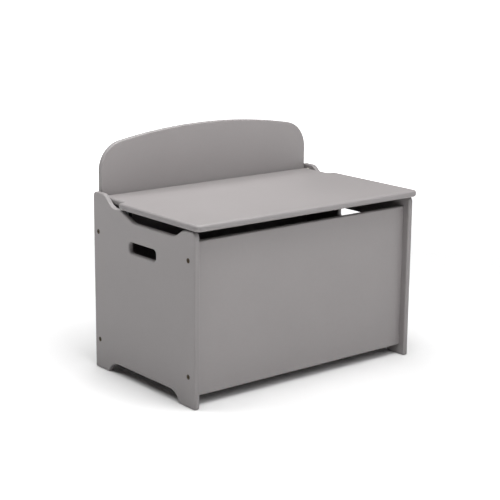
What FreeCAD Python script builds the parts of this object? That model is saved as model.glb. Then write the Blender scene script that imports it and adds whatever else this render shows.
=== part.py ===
import FreeCAD, Part
import math
import os

from FreeCAD import Vector

# A wooden toy box with a lift-up bench lid and an arched backrest. Millimetres, +Z up, +Y to the rear.
# The origin is on the floor, under the middle of the object's outer box.

# Overall sizes
overall_length = 596.9
overall_depth = 368.3
lid_height = 374.65
overall_height = 506.5

# Boards
board = 12.0
lid_thickness = 14.0
arris = 3.0
lid_arris = 5.5
backrest_arris = 3.0
lid_side_overhang = 3.0
lid_front_overhang = 12.7

# Side panel outline. Distances run forward from the panel's rear edge.
ear_height = 383.5
ear_front = 39.0
ear_foot = 67.6
ear_corner = 9.0
ear_shoulder_radius = 20.0
ear_foot_radius = 40.0
bumper_height = 1.9
bumper_gap = 0.1
bumper_edge_height = 1.1
bumper_top_radius = 2.4
scoop_height = 340.0
scoop_back = 100.0
scoop_back_floor = 144.0
scoop_front_floor = 289.0
scoop_front = 317.5
scoop_radius = 25.0
scoop_floor_radius = 40.0
scoop_rise_radius = 40.0
front_corner = 11.0
foot_corner = 4.0
arch_height = 23.5
arch_back = 50.0
arch_front = 303.0
arch_lean = 10.5
arch_radius = 34.0
arch_foot_radius = 4.0

# Hand slot in each side panel
slot_length = 95.0
slot_height = 24.0
slot_radius = 9.0
slot_centre_height = 287.3

# Front, back and bottom panels
front_recess = 15.9
front_bottom = 22.0
front_top = 336.8
back_top = 352.0
bottom_thickness = 6.0
bottom_height = 34.0
groove_depth = 4.0
groove_play = 0.2

# Backrest
backrest_bottom = 290.0
backrest_play = 0.9
crown_radius = 1300.0
crown_corner = 62.0
backrest_foot_corner = 6.0

# Lid outline
notch_depth = 97.0
notch_play = 2.0
lid_rear_gap = 2.5
lid_front_corner = 13.0
lid_corner = 6.0

# Lid pivot
pivot_setback = 23.5
pin_radius = 3.0
pin_in_lid = 20.0
bush_radius = 4.5
bush_depth = 8.5
bush_flange_radius = 7.0
bush_flange = 1.2
running_play = 0.05
fixed_play = 0.03

# Connector bolts, barrel nuts and dowels
bolt_heights = (64.0, 300.0)
bolt_radius = 2.95
bolt_hole_radius = 3.2
bolt_head_radius = 5.2
bolt_head_depth = 3.0
bolt_length = 48.0
bolt_end_room = 1.0
socket_across_flats = 4.0
socket_sides = 6
socket_depth = 2.2
nut_radius = 4.75
nut_length = 10.0
nut_setback = 30.0
nut_slot = 1.2
dowel_radius = 2.95
dowel_hole_radius = 3.0
dowel_heights = (130.0, 235.0)
dowel_in_side = 8.0
dowel_in_panel = 20.0
dowel_chamfer = 0.8

# Countersunk wood screws: (shank radius, head radius, length)
backrest_screw = (2.0, 4.0, 21.0)
stay_screw = (1.6, 3.2, 9.6)
backrest_screw_heights = (304.0, 338.0)
backrest_screw_places = (-220.0, 0.0, 220.0)
screw_point = 3.0
screw_head_sink = 0.15
recess_width = 0.8

# Lid stay: two steel links between a plate on the side panel and a bracket under the lid.
# Its four pivots form a parallelogram: the lower link stays parallel to the line from the lid's
# pivot to the bracket's pivot, and the upper link never turns.
bracket_reach = 78.0
bracket_drop = 17.0
plate_reach = 14.0
plate_drop = 55.0
steel = 1.8
link_thickness = 2.0
lower_link_half_width = 8.0
upper_link_half_width = 7.0
washer = 0.6
washer_radius = 6.0
layer_gap = 0.05
rivet_radius = 3.0
rivet_head_radius = 5.0
rivet_head = 1.4
rivet_head_edge = 0.6
rivet_head_top_radius = 3.5
plate_half_width = 9.0
plate_length = 38.0
plate_corner = 8.0
plate_screw_drops = (16.0, 30.0)
bracket_half_width = 10.0
bracket_corner = 8.0
bracket_flange = 20.0
bracket_flange_half_length = 16.0
bracket_screw_offset = 12.0
bracket_screw_spread = 9.0
bracket_foot = 9.0

# Values that follow from the sizes above
rear = overall_depth / 2
side_outer = overall_length / 2 - lid_side_overhang
side_inner = side_outer - board
side_depth = overall_depth - lid_front_overhang
lid_underside = lid_height - lid_thickness
shoulder_height = lid_underside - bumper_height - bumper_gap
front_face = rear - side_depth + front_recess
front_inner = front_face + board
back_outer = rear - board
back_inner = back_outer - board
pivot_y = rear - pivot_setback
pivot_z = lid_height - lid_thickness / 2
plate_pivot = (pivot_y - plate_reach, pivot_z - plate_drop)
bracket_pivot = (pivot_y - bracket_reach, pivot_z - bracket_drop)
elbow = (plate_pivot[0] - bracket_reach, plate_pivot[1] - bracket_drop)
panel_middles = (front_face + board / 2, back_outer - board / 2)

X = Vector(1, 0, 0)
Y = Vector(0, 1, 0)
Z = Vector(0, 0, 1)


def spot(normal, u, v, level):
    """A point on the plane at that level along the normal; u and v run along the other two axes."""
    if normal == X:
        return Vector(level, u, v)
    if normal == Y:
        return Vector(u, level, v)
    return Vector(u, v, level)


def outline(corners, normal, level):
    """A closed wire through corners (u, v, radius): straight runs joined by tangent arcs."""
    points = [spot(normal, u, v, level) for u, v, _ in corners]
    starts = []
    middles = []
    ends = []
    for i, here in enumerate(points):
        to_last = (points[i - 1] - here).normalize()
        to_next = (points[(i + 1) % len(points)] - here).normalize()
        half = to_last.getAngle(to_next) / 2
        radius = corners[i][2]
        run = radius / math.tan(half)
        inward = (to_last + to_next).normalize()
        starts.append(here + to_last * run)
        middles.append(here + inward * (radius / math.sin(half) - radius))
        ends.append(here + to_next * run)
    edges = []
    for i in range(len(points)):
        edges.append(Part.LineSegment(ends[i - 1], starts[i]).toShape())
        if corners[i][2] > 0:
            edges.append(Part.Arc(starts[i], middles[i], ends[i]).toShape())
    return Part.Wire(edges)


def plate(corners, normal, level, thickness):
    """A flat board with that outline, from level to level + thickness along the normal."""
    return Part.Face(outline(corners, normal, level)).extrude(normal * thickness)


def rectangle(u0, u1, v0, v1, radius):
    return [(u0, v0, radius), (u1, v0, radius), (u1, v1, radius), (u0, v1, radius)]


def block(x0, x1, y0, y1, z0, z1):
    return Part.makeBox(x1 - x0, y1 - y0, z1 - z0, Vector(x0, y0, z0))


def ease(shape, normal, levels, radius):
    """Rounds every edge that lies wholly in one of the planes at those levels along the normal."""
    chosen = []
    for edge in shape.Edges:
        low = edge.BoundBox.getPoint(0).dot(normal)
        high = edge.BoundBox.getPoint(6).dot(normal)
        for level in levels:
            if abs(low - level) < 1e-4 and abs(high - level) < 1e-4:
                chosen.append(edge)
    return shape.makeFillet(radius, chosen)


def turned(profile, base, direction):
    """A solid of revolution: profile lists (radius, distance along the axis from base)."""
    points = [Vector(radius, 0, along) for radius, along in profile]
    face = Part.Face(Part.makePolygon(points + points[:1]))
    solid = face.revolve(Vector(0, 0, 0), Z, 360)
    solid.Placement = FreeCAD.Placement(base, FreeCAD.Rotation(Z, direction))
    return solid


def rod(radius, base, direction, length):
    return Part.makeCylinder(radius, length, base, direction)


def mirrored(shape):
    return shape.mirror(Vector(0, 0, 0), X)


def forward_of_rear(distance):
    """The Y of a place that far forward of the side panel's rear edge."""
    return rear - distance


# Wooden boards


def bottom_board(play):
    """The bottom panel; play widens it all round, which gives the grooves that hold it."""
    reach = groove_depth - groove_play + play
    return block(
        -side_inner - reach,
        side_inner + reach,
        front_inner - reach,
        back_inner + reach,
        bottom_height - play,
        bottom_height + bottom_thickness + play,
    )


def side_outline():
    """The side panel's outline as (Y, Z, radius), from the rear foot round to the ear."""
    corners = [
        (0, 0, foot_corner),
        (arch_back, 0, arch_foot_radius),
        (arch_back + arch_lean, arch_height, arch_radius),
        (arch_front - arch_lean, arch_height, arch_radius),
        (arch_front, 0, arch_foot_radius),
        (side_depth, 0, foot_corner),
        (side_depth, shoulder_height, front_corner),
        (scoop_front, shoulder_height, scoop_rise_radius),
        (scoop_front_floor, scoop_height, scoop_rise_radius),
        (scoop_back_floor, scoop_height, scoop_floor_radius),
        (scoop_back, shoulder_height, scoop_radius),
        (ear_foot, shoulder_height, ear_foot_radius),
        (ear_front, ear_height, ear_shoulder_radius),
        (0, ear_height, ear_corner),
    ]
    return [(forward_of_rear(distance), height, radius) for distance, height, radius in corners]


def side_panel():
    """The left side panel, with its hand slot, bolt and dowel holes, bush socket and groove."""
    panel = plate(side_outline(), X, -side_outer, board)
    middle = forward_of_rear(side_depth / 2)
    slot = plate(
        rectangle(
            middle - slot_length / 2,
            middle + slot_length / 2,
            slot_centre_height - slot_height / 2,
            slot_centre_height + slot_height / 2,
            slot_radius,
        ),
        X,
        -side_outer,
        board,
    )
    panel = panel.cut(slot)
    panel = ease(panel, X, (-side_outer, -side_inner), arris)
    tools = [bottom_board(groove_play)]
    for y in panel_middles:
        for z in bolt_heights:
            tools.append(bolt_hole(y, z))
        for z in dowel_heights:
            tools.append(rod(dowel_hole_radius, Vector(-side_inner - dowel_in_side, y, z), X, board))
    socket = Vector(-side_inner - bush_depth, pivot_y, pivot_z)
    tools.append(rod(bush_radius + fixed_play, socket, X, board))
    for base in plate_screw_places():
        tools.append(countersunk(stay_screw, base, -X, fixed_play))
    return panel.cut(tools)


def end_drillings(y, inward):
    """The holes in one panel's left end: bolt, barrel nut and dowel. inward points into the box."""
    tools = []
    for z in bolt_heights:
        tools.append(bolt_hole(y, z))
        mouth = Vector(-side_inner + nut_setback, y, z) - inward * (nut_length / 2 + fixed_play)
        tools.append(rod(nut_radius + fixed_play, mouth, inward, board))
    for z in dowel_heights:
        tools.append(rod(dowel_hole_radius, Vector(-side_inner, y, z), X, dowel_in_panel + fixed_play))
    return tools


def cross_panel(face, z0, z1, middle, inward):
    """A panel between the sides, from face to face + board along Y."""
    panel = block(-side_inner, side_inner, face, face + board, z0, z1)
    panel = ease(panel, Z, (z0, z1), arris)
    tools = end_drillings(middle, inward)
    tools += [mirrored(tool) for tool in tools]
    tools.append(bottom_board(groove_play))
    return panel.cut(tools)


def front_panel():
    return cross_panel(front_face, front_bottom, front_top, panel_middles[0], Y)


def back_panel():
    panel = cross_panel(back_inner, front_bottom, back_top, panel_middles[1], -Y)
    return panel.cut(backrest_screws(fixed_play))


def crown_outline():
    """The backrest's edge: a shallow crown arc that two round corners join to upright sides."""
    half = side_inner - backrest_play
    corner_x = half - crown_corner
    crown_centre = overall_height - crown_radius
    rise = math.sqrt((crown_radius - crown_corner) ** 2 - corner_x**2)
    corner_z = crown_centre + rise
    lean = math.atan2(corner_x, rise)
    meet_x = crown_radius * math.sin(lean)
    meet_z = crown_centre + crown_radius * math.cos(lean)
    half_turn = (math.pi / 2 + lean) / 2
    bulge_x = corner_x + crown_corner * math.sin(half_turn)
    bulge_z = corner_z + crown_corner * math.cos(half_turn)
    foot = backrest_foot_corner
    cut = foot * (1 - math.sqrt(0.5))

    def at(x, z):
        return Vector(x, back_outer, z)

    return Part.Wire([
        Part.LineSegment(at(foot - half, backrest_bottom), at(half - foot, backrest_bottom)).toShape(),
        Part.Arc(
            at(half - foot, backrest_bottom),
            at(half - cut, backrest_bottom + cut),
            at(half, backrest_bottom + foot),
        ).toShape(),
        Part.LineSegment(at(half, backrest_bottom + foot), at(half, corner_z)).toShape(),
        Part.Arc(at(half, corner_z), at(bulge_x, bulge_z), at(meet_x, meet_z)).toShape(),
        Part.Arc(at(meet_x, meet_z), at(0, overall_height), at(-meet_x, meet_z)).toShape(),
        Part.Arc(at(-meet_x, meet_z), at(-bulge_x, bulge_z), at(-half, corner_z)).toShape(),
        Part.LineSegment(at(-half, corner_z), at(-half, backrest_bottom + foot)).toShape(),
        Part.Arc(
            at(-half, backrest_bottom + foot),
            at(cut - half, backrest_bottom + cut),
            at(foot - half, backrest_bottom),
        ).toShape(),
    ])


def backrest():
    panel = Part.Face(crown_outline()).extrude(Y * board)
    panel = ease(panel, Y, (back_outer, rear), backrest_arris)
    return panel.cut(backrest_screws(fixed_play))


def lid():
    """The bench lid: full length at the front, narrower at the rear where it sits between the ears."""
    wide = overall_length / 2
    narrow = side_inner - notch_play
    front = -rear
    step = forward_of_rear(notch_depth)
    back = back_outer - lid_rear_gap
    corners = [
        (-wide, front, lid_front_corner),
        (wide, front, lid_front_corner),
        (wide, step, lid_corner),
        (narrow, step, lid_corner),
        (narrow, back, lid_corner),
        (-narrow, back, lid_corner),
        (-narrow, step, lid_corner),
        (-wide, step, lid_corner),
    ]
    board_lid = plate(corners, Z, lid_underside, lid_thickness)
    board_lid = ease(board_lid, Z, (lid_underside, lid_height), lid_arris)
    mouth = Vector(-narrow - fixed_play, pivot_y, pivot_z)
    tools = [rod(pin_radius + fixed_play, mouth, X, pin_in_lid + 2 * fixed_play)]
    for base in bracket_screw_places():
        tools.append(countersunk(stay_screw, base, Z, fixed_play))
    tools += [mirrored(tool) for tool in tools]
    return board_lid.cut(tools)


# Fasteners


def bolt_hole(y, z):
    """A clearance hole along X through the left side panel, countersunk, and on into a panel's end."""
    countersink = [
        (0, 0),
        (bolt_head_radius + fixed_play, 0),
        (bolt_head_radius + fixed_play, screw_head_sink + fixed_play),
        (bolt_hole_radius, bolt_head_depth + screw_head_sink),
        (bolt_hole_radius, bolt_length + bolt_end_room),
        (0, bolt_length + bolt_end_room),
    ]
    return turned(countersink, Vector(-side_outer, y, z), X)


def bolt(y, z):
    """A connector bolt with a countersunk head and a hexagon socket, driven in from the left."""
    head = screw_head_sink
    profile = [
        (0, head),
        (bolt_head_radius, head),
        (bolt_radius, head + bolt_head_depth),
        (bolt_radius, bolt_length - dowel_chamfer),
        (bolt_radius - dowel_chamfer, bolt_length),
        (0, bolt_length),
    ]
    solid = turned(profile, Vector(-side_outer, y, z), X)
    corner = socket_across_flats / math.sqrt(3)
    points = []
    for side in range(socket_sides):
        angle = 2 * math.pi * side / socket_sides
        points.append(Vector(-side_outer, y + corner * math.cos(angle), z + corner * math.sin(angle)))
    hexagon = Part.Face(Part.makePolygon(points + points[:1]))
    socket = hexagon.extrude(X * (head + socket_depth))
    return solid.cut(socket)


def barrel_nut(y, z, inward):
    """A cross dowel with a cross hole for the bolt and a screwdriver slot in its inner end."""
    centre = Vector(-side_inner + nut_setback, y, z)
    nut = rod(nut_radius, centre - inward * (nut_length / 2), inward, nut_length)
    hole = rod(bolt_radius + fixed_play, centre - X * nut_setback, X, 2 * nut_setback)
    end = centre + inward * (nut_length / 2)
    slot = block(
        end.x - nut_radius,
        end.x + nut_radius,
        end.y - nut_slot,
        end.y + nut_slot,
        end.z - nut_slot / 2,
        end.z + nut_slot / 2,
    )
    return nut.cut([hole, slot])


def dowel(y, z):
    length = dowel_in_side + dowel_in_panel - 2 * fixed_play
    profile = [
        (0, 0),
        (dowel_radius - dowel_chamfer, 0),
        (dowel_radius, dowel_chamfer),
        (dowel_radius, length - dowel_chamfer),
        (dowel_radius - dowel_chamfer, length),
        (0, length),
    ]
    return turned(profile, Vector(-side_inner - dowel_in_side + fixed_play, y, z), X)


def countersunk(size, base, direction, play):
    """A wood screw from its head at base towards its point; play makes the hole that it fits."""
    shank, head, length = size
    shank += play
    head += play
    cone = head - shank
    profile = [
        (0, -play),
        (head, -play),
        (head, screw_head_sink),
        (shank, screw_head_sink + cone),
        (shank, length - screw_point),
        (0, length + 2 * play),
    ]
    return turned(profile, base, direction)


def wood_screw(size, base, direction):
    """A countersunk screw with a cross recess, its head just under the surface at base."""
    solid = countersunk(size, base + direction * fixed_play, direction, 0)
    reach = size[1] / 2
    depth = size[1] / 2
    arms = []
    for half_x, half_y in ((reach, recess_width / 2), (recess_width / 2, reach)):
        arm = block(-half_x, half_x, -half_y, half_y, 0, depth)
        arm.Placement = FreeCAD.Placement(base, FreeCAD.Rotation(Z, direction))
        arms.append(arm)
    return solid.cut(arms)


def backrest_screws(play):
    """The screws that hold the backrest to the back panel, or the holes for them if play is given."""
    solids = []
    for x in backrest_screw_places:
        for z in backrest_screw_heights:
            base = Vector(x, rear, z)
            if play > 0:
                solids.append(countersunk(backrest_screw, base, -Y, play))
            else:
                solids.append(wood_screw(backrest_screw, base, -Y))
    return solids


# Lid pivot: a steel pin in the lid's end turns in a flanged nylon bush in the ear.


def pivot_pin():
    start = Vector(-side_inner - bush_depth + fixed_play, pivot_y, pivot_z)
    length = bush_depth + notch_play + pin_in_lid - fixed_play
    return rod(pin_radius, start, X, length)


def pivot_bush():
    start = -bush_depth + fixed_play
    profile = [
        (pin_radius + running_play, start),
        (bush_radius, start),
        (bush_radius, 0),
        (bush_flange_radius, 0),
        (bush_flange_radius, bush_flange),
        (pin_radius + running_play, bush_flange),
    ]
    return turned(profile, Vector(-side_inner, pivot_y, pivot_z), X)


def lid_bumper():
    """A stick-on rubber pad on top of the front ear, which the closed lid rests on."""
    middle = forward_of_rear((scoop_front + side_depth) / 2)
    radius = board / 2 - arris
    profile = [
        (0, 0),
        (radius, 0),
        (radius, bumper_edge_height),
        (bumper_top_radius, bumper_height),
        (0, bumper_height),
    ]
    return turned(profile, Vector(-side_inner - board / 2, middle, shoulder_height), Z)


# Lid stay. Each layer starts this far in from the side panel's inner face.
lower_layer = steel + washer + 2 * layer_gap
upper_layer = lower_layer + link_thickness + washer + 2 * layer_gap
bracket_layer = upper_layer + link_thickness + washer + 2 * layer_gap


def stay_spot(pivot, layer):
    return Vector(-side_inner + layer, pivot[0], pivot[1])


def link(start, end, half_width, layer, thickness):
    """A flat bar with round ends from pivot to pivot, drilled for a rivet at each."""
    a = stay_spot(start, layer)
    b = stay_spot(end, layer)
    along = (b - a).normalize()
    across = along.cross(X) * half_width
    wire = Part.Wire([
        Part.LineSegment(a + across, b + across).toShape(),
        Part.Arc(b + across, b + along * half_width, b - across).toShape(),
        Part.LineSegment(b - across, a - across).toShape(),
        Part.Arc(a - across, a - along * half_width, a + across).toShape(),
    ])
    bar = Part.Face(wire).extrude(X * thickness)
    holes = [rod(rivet_radius + running_play, point, X, thickness) for point in (a, b)]
    return bar.cut(holes)


def plate_screw_places():
    y, z = plate_pivot
    return [Vector(-side_inner + steel, y, z - drop) for drop in plate_screw_drops]


def bracket_screw_places():
    y = bracket_pivot[0]
    x = -side_inner + bracket_layer + bracket_screw_offset
    return [Vector(x, y + side * bracket_screw_spread, lid_underside - steel) for side in (-1, 1)]


def stay_plate():
    y, z = plate_pivot
    corners = rectangle(
        y - plate_half_width,
        y + plate_half_width,
        z - plate_length,
        z + plate_half_width,
        plate_corner,
    )
    base = plate(corners, X, -side_inner, steel)
    tools = [countersunk(stay_screw, place, -X, fixed_play) for place in plate_screw_places()]
    tools.append(rod(rivet_radius + fixed_play, stay_spot(plate_pivot, 0), X, steel))
    return base.cut(tools)


def stay_bracket():
    """An angle bracket: one flange against the lid's underside, the other hangs down to the pivot."""
    y, z = bracket_pivot
    x0 = -side_inner + bracket_layer
    hanging = plate(
        [
            (y - bracket_half_width, z - bracket_foot, bracket_corner),
            (y + bracket_half_width, z - bracket_foot, bracket_corner),
            (y + bracket_half_width, lid_underside, 0),
            (y - bracket_half_width, lid_underside, 0),
        ],
        X,
        x0,
        steel,
    )
    flange = plate(
        rectangle(
            x0,
            x0 + bracket_flange,
            y - bracket_flange_half_length,
            y + bracket_flange_half_length,
            steel,
        ),
        Z,
        lid_underside - steel,
        steel,
    )
    angle = hanging.fuse(flange).removeSplitter()
    tools = [countersunk(stay_screw, place, Z, fixed_play) for place in bracket_screw_places()]
    tools.append(rod(rivet_radius + fixed_play, Vector(x0, y, z), X, steel))
    return angle.cut(tools)


def stay_washer(pivot, layer):
    """A nylon friction washer between two layers of the stay."""
    ring = rod(washer_radius, stay_spot(pivot, layer), X, washer)
    return ring.cut(rod(rivet_radius + running_play, stay_spot(pivot, layer), X, washer))


def stay_rivet(pivot, start, end, head_at_start, head_at_end):
    """A shoulder rivet from layer start to layer end, with a domed head at the named ends."""
    profile = [(0, start)]
    if head_at_start:
        profile = [
            (0, start - rivet_head),
            (rivet_head_top_radius, start - rivet_head),
            (rivet_head_radius, start - rivet_head_edge),
            (rivet_head_radius, start),
        ]
    profile.append((rivet_radius, start))
    profile.append((rivet_radius, end))
    if head_at_end:
        profile += [
            (rivet_head_radius, end),
            (rivet_head_radius, end + rivet_head_edge),
            (rivet_head_top_radius, end + rivet_head),
        ]
        profile.append((0, end + rivet_head))
    else:
        profile.append((0, end))
    return turned(profile, stay_spot(pivot, 0), X)


def stay_parts():
    """The left stay's nodes, by name."""
    return {
        "stay_plate": stay_plate(),
        "stay_plate_washer": stay_washer(plate_pivot, steel + layer_gap),
        "stay_plate_rivet": stay_rivet(
            plate_pivot, 0, lower_layer + link_thickness + layer_gap, False, True
        ),
        "stay_lower_link": link(
            plate_pivot, elbow, lower_link_half_width, lower_layer, link_thickness
        ),
        "stay_elbow_washer": stay_washer(elbow, lower_layer + link_thickness + layer_gap),
        "stay_elbow_rivet": stay_rivet(
            elbow, lower_layer - layer_gap, upper_layer + link_thickness + layer_gap, True, True
        ),
        "stay_upper_link": link(
            elbow, bracket_pivot, upper_link_half_width, upper_layer, link_thickness
        ),
        "stay_bracket_washer": stay_washer(
            bracket_pivot, upper_layer + link_thickness + layer_gap
        ),
        "stay_bracket_rivet": stay_rivet(
            bracket_pivot, upper_layer - layer_gap, bracket_layer + steel, True, False
        ),
        "stay_bracket": stay_bracket(),
    }


def both_ends(solids):
    """The solids at the left end and their mirror images at the right."""
    return solids + [mirrored(solid) for solid in solids]


def screws_at(places, direction):
    return Part.Compound(both_ends([wood_screw(stay_screw, place, direction) for place in places]))


def build():
    nodes = {
        "bottom_panel": bottom_board(0),
        "front_panel": front_panel(),
        "back_panel": back_panel(),
        "backrest": backrest(),
        "lid": lid(),
        "backrest_screws": Part.Compound(backrest_screws(0)),
        "stay_plate_screws": screws_at(plate_screw_places(), -X),
        "stay_bracket_screws": screws_at(bracket_screw_places(), Z),
    }
    bolts = []
    nuts = []
    dowels = []
    for y, inward in zip(panel_middles, (Y, -Y)):
        for z in bolt_heights:
            bolts.append(bolt(y, z))
            nuts.append(barrel_nut(y, z, inward))
        for z in dowel_heights:
            dowels.append(dowel(y, z))
    nodes["panel_bolts"] = Part.Compound(both_ends(bolts))
    nodes["barrel_nuts"] = Part.Compound(both_ends(nuts))
    nodes["locating_dowels"] = Part.Compound(both_ends(dowels))
    left_parts = {
        "side_panel": side_panel(),
        "lid_pivot_pin": pivot_pin(),
        "lid_pivot_bush": pivot_bush(),
        "lid_bumper": lid_bumper(),
    }
    left_parts.update(stay_parts())
    for name, shape in left_parts.items():
        nodes[name + "_left"] = shape
        nodes[name + "_right"] = mirrored(shape)
    return nodes


os.makedirs("parts", exist_ok=True)
for name, shape in build().items():
    if not shape.isValid():
        print("not valid:", name)
    shape.exportStep(os.path.join("parts", name + ".step"))
    print(name, len(shape.Solids), "solid(s)", round(shape.Volume / 1000, 2), "cm3")
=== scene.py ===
"""A wooden toy box with a lift-up bench lid and an arched backrest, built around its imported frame."""

import math

import bmesh
import bpy
from bpy.props import FloatProperty, FloatVectorProperty, IntProperty, PointerProperty
from mathutils import Matrix, Vector


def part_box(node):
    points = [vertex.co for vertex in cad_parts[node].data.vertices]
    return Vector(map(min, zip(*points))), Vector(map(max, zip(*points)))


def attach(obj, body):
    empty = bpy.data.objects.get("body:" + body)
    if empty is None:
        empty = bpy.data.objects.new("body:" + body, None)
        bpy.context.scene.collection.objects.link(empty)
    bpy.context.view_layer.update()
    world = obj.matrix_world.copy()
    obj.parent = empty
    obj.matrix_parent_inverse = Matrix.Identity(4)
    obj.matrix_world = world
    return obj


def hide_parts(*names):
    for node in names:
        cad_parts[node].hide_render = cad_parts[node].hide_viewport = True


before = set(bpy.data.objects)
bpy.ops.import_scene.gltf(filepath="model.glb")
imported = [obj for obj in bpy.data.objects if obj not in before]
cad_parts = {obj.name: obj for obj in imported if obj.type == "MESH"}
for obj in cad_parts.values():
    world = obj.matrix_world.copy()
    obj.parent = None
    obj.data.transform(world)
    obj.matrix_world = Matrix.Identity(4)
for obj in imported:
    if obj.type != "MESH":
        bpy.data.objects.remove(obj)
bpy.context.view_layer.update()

bl_info = {
    "name": "Toy Box Maker",
    "version": (1, 0, 0),
    "blender": (4, 5, 0),
    "location": "View3D > Sidebar > Toy Box",
    "description": "Finishes a bench-lid toy box: painted boards, fasteners, lid stays and a studio stage",
    "category": "Object",
}

MM = 0.001
SIDES = ("left", "right")
INWARD = {"left": 1, "right": -1}

# Made pieces: points nearer than this are one, and folds sharper than this are shaded as edges.
WELD = 0.005 * MM
CREASE = math.radians(32)


# Colours


def linear(code):
    """An sRGB hex colour as linear red, green and blue."""
    channels = [int(code.lstrip("#")[i : i + 2], 16) / 255 for i in (0, 2, 4)]
    return tuple(c / 12.92 if c <= 0.04045 else ((c + 0.055) / 1.055) ** 2.4 for c in channels)


def rgba(colour, factor=1.0):
    """A linear colour with its alpha, made lighter or darker by a factor."""
    return (colour[0] * factor, colour[1] * factor, colour[2] * factor, 1.0)


# Settings


def colour_property(name, description, code):
    return FloatVectorProperty(
        name=name, description=description, subtype="COLOR", size=3, min=0, max=1, default=linear(code)
    )


def length_property(name, description, millimetres):
    return FloatProperty(
        name=name, description=description, unit="LENGTH", min=0, precision=5, default=millimetres * MM
    )


def count_property(name, description, count, least, most):
    return IntProperty(name=name, description=description, default=count, min=least, max=most)


def angle_property(name, description, degrees):
    angle = math.radians(degrees)
    return FloatProperty(name=name, description=description, unit="ROTATION", default=angle)


def light_property(name, description, strength):
    return FloatProperty(name=name, description=description, min=0, default=strength)


class ToyBoxFinish(bpy.types.PropertyGroup):
    """Colours and surface sizes of the finishes."""

    paint: colour_property("Paint", "Sprayed grey paint on the boards", "#8B8787")
    paint_peel: length_property("Orange peel", "Spacing of the ripples that the spray leaves", 1.6)
    paint_fibre: length_property("Edge fibre", "Spacing of the fibres that show on a cut edge", 0.5)
    bronze: colour_property("Bronze plating", "Antique plating on bolts and backrest screws", "#453A2D")
    zinc: colour_property("Zinc plating", "Zinc on the stay screws, rivets and pins", "#C9CCCE")
    powder: colour_property("Black powder coat", "Coating on the lid stays", "#1D1E20")
    nylon: colour_property("Nylon", "Natural nylon bushes and washers", "#E3DFD2")
    rubber: colour_property("Rubber", "Pads that the lid rests on", "#2A2A2B")
    beech: colour_property("Beech", "Locating dowels", "#C79A68")


class ToyBoxFasteners(bpy.types.PropertyGroup):
    """Sizes of the bolts, screws and rivets that the frame's boxes do not give."""

    bolt_head_radius: length_property("Bolt head radius", "Radius of the countersunk bolt head", 5.2)
    bolt_head: length_property("Bolt head depth", "Depth of the countersunk bolt head", 3.0)
    bolt_length: length_property("Bolt length", "Length of the bolt with its head", 47.85)
    bolt_shank: length_property("Bolt radius", "Radius of the bolt over its thread", 2.95)
    bolt_socket: length_property("Socket size", "Hexagon socket, across its flats", 4.0)
    bolt_socket_depth: length_property("Socket depth", "Depth of the hexagon socket", 2.2)
    bolt_pitch: length_property("Bolt thread pitch", "Rise of the bolt thread per turn", 1.0)
    bolt_thread: length_property("Bolt thread depth", "Depth of the bolt thread", 0.45)
    bolt_point: length_property("Bolt chamfer length", "Length of the chamfer at the bolt's end", 0.8)
    bolt_point_depth: length_property("Bolt chamfer depth", "How much thinner the bolt's end is", 0.7)
    bolt_rows: count_property("Bolt rows", "Rows of points along a bolt", 242, 12, 600)
    screw_head_radius: length_property("Backrest screw head", "Radius of a backrest screw's head", 4.0)
    screw_shank: length_property("Backrest screw radius", "Radius of a backrest screw over the thread", 2.0)
    small_head_radius: length_property("Stay screw head", "Radius of a stay screw's head", 3.2)
    small_shank: length_property("Stay screw radius", "Radius of a stay screw over the thread", 1.6)
    small_length: length_property("Stay screw length", "Length of a stay screw with its head", 9.6)
    screw_recess: length_property("Recess width", "Width of each arm of the cross recess", 0.8)
    screw_pitch: length_property("Screw thread pitch", "Rise of the wood screw thread per turn", 1.6)
    screw_point: length_property("Screw point length", "Length of a wood screw's point", 3.0)
    screw_tip: length_property("Screw tip radius", "Radius at the end of a wood screw's point", 0.1)
    screw_rows: count_property("Screw rows", "Rows of points in one turn of a screw's thread", 10, 4, 24)
    thread_sides: count_property("Thread sides", "Faces round a threaded part", 24, 12, 96)
    rivet_head: length_property("Rivet head height", "Height of a rivet's domed head", 1.4)
    rivet_shank: length_property("Rivet radius", "Radius of a rivet's shank", 3.0)
    rivet_dimple: length_property("Rivet dimple", "Radius of the ball that dents a rivet's head", 1.4)
    washer_play: length_property("Washer play", "Room between a rivet and its washer", 0.05)
    stamped_edge: length_property("Stamped edge", "Rounding of the stays' stamped edges", 0.3)
    sides: count_property("Sides", "Faces round a turned part", 48, 12, 96)


class ToyBoxStage(bpy.types.PropertyGroup):
    """The floor, the lights and the camera."""

    floor: colour_property("Floor", "Matt studio floor", "#F4F4F4")
    camera_place: FloatVectorProperty(
        name="Camera place",
        description="Where the camera stands",
        subtype="TRANSLATION",
        unit="LENGTH",
        size=3,
        default=(-1.8284, -2.2195, 0.9472),
    )
    camera_yaw: angle_property("Yaw", "Camera turn from the rear direction", -39.174)
    camera_pitch: angle_property("Pitch", "Camera tilt above the horizon", -13.643)
    camera_roll: angle_property("Roll", "Camera lean", 0.564)
    camera_lens: FloatProperty(name="Lens", description="Focal length", unit="CAMERA", default=99.14)
    sky: light_property("Room light", "Strength of the even room light", 0.03)
    overhead: light_property("Overhead light", "Power of the broad softbox above", 38.0)
    near: light_property("Near light", "Power of the small softbox close above", 12.3)
    front: light_property("Front light", "Power of the high softbox in front", 30.0)
    right: light_property("Right light", "Power of the softbox at the front right", 5.7)
    rear: light_property("Rear light", "Power of the small high softbox behind", 9.1)
    left: light_property("Left light", "Power of the softbox at the rear left", 12.9)
    wash: light_property("Floor wash", "Glow of the floor far from the object", 1.35)
    wash_start: FloatProperty(
        name="Wash start", description="Where the floor starts to glow", unit="LENGTH", default=0.7
    )
    wash_end: FloatProperty(
        name="Wash end", description="Where the floor's glow is full", unit="LENGTH", default=2.9
    )


# Node trees


def spaced(millimetres):
    """The scale that sets a pattern's features that far apart."""
    return 1 / (millimetres * MM)


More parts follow.
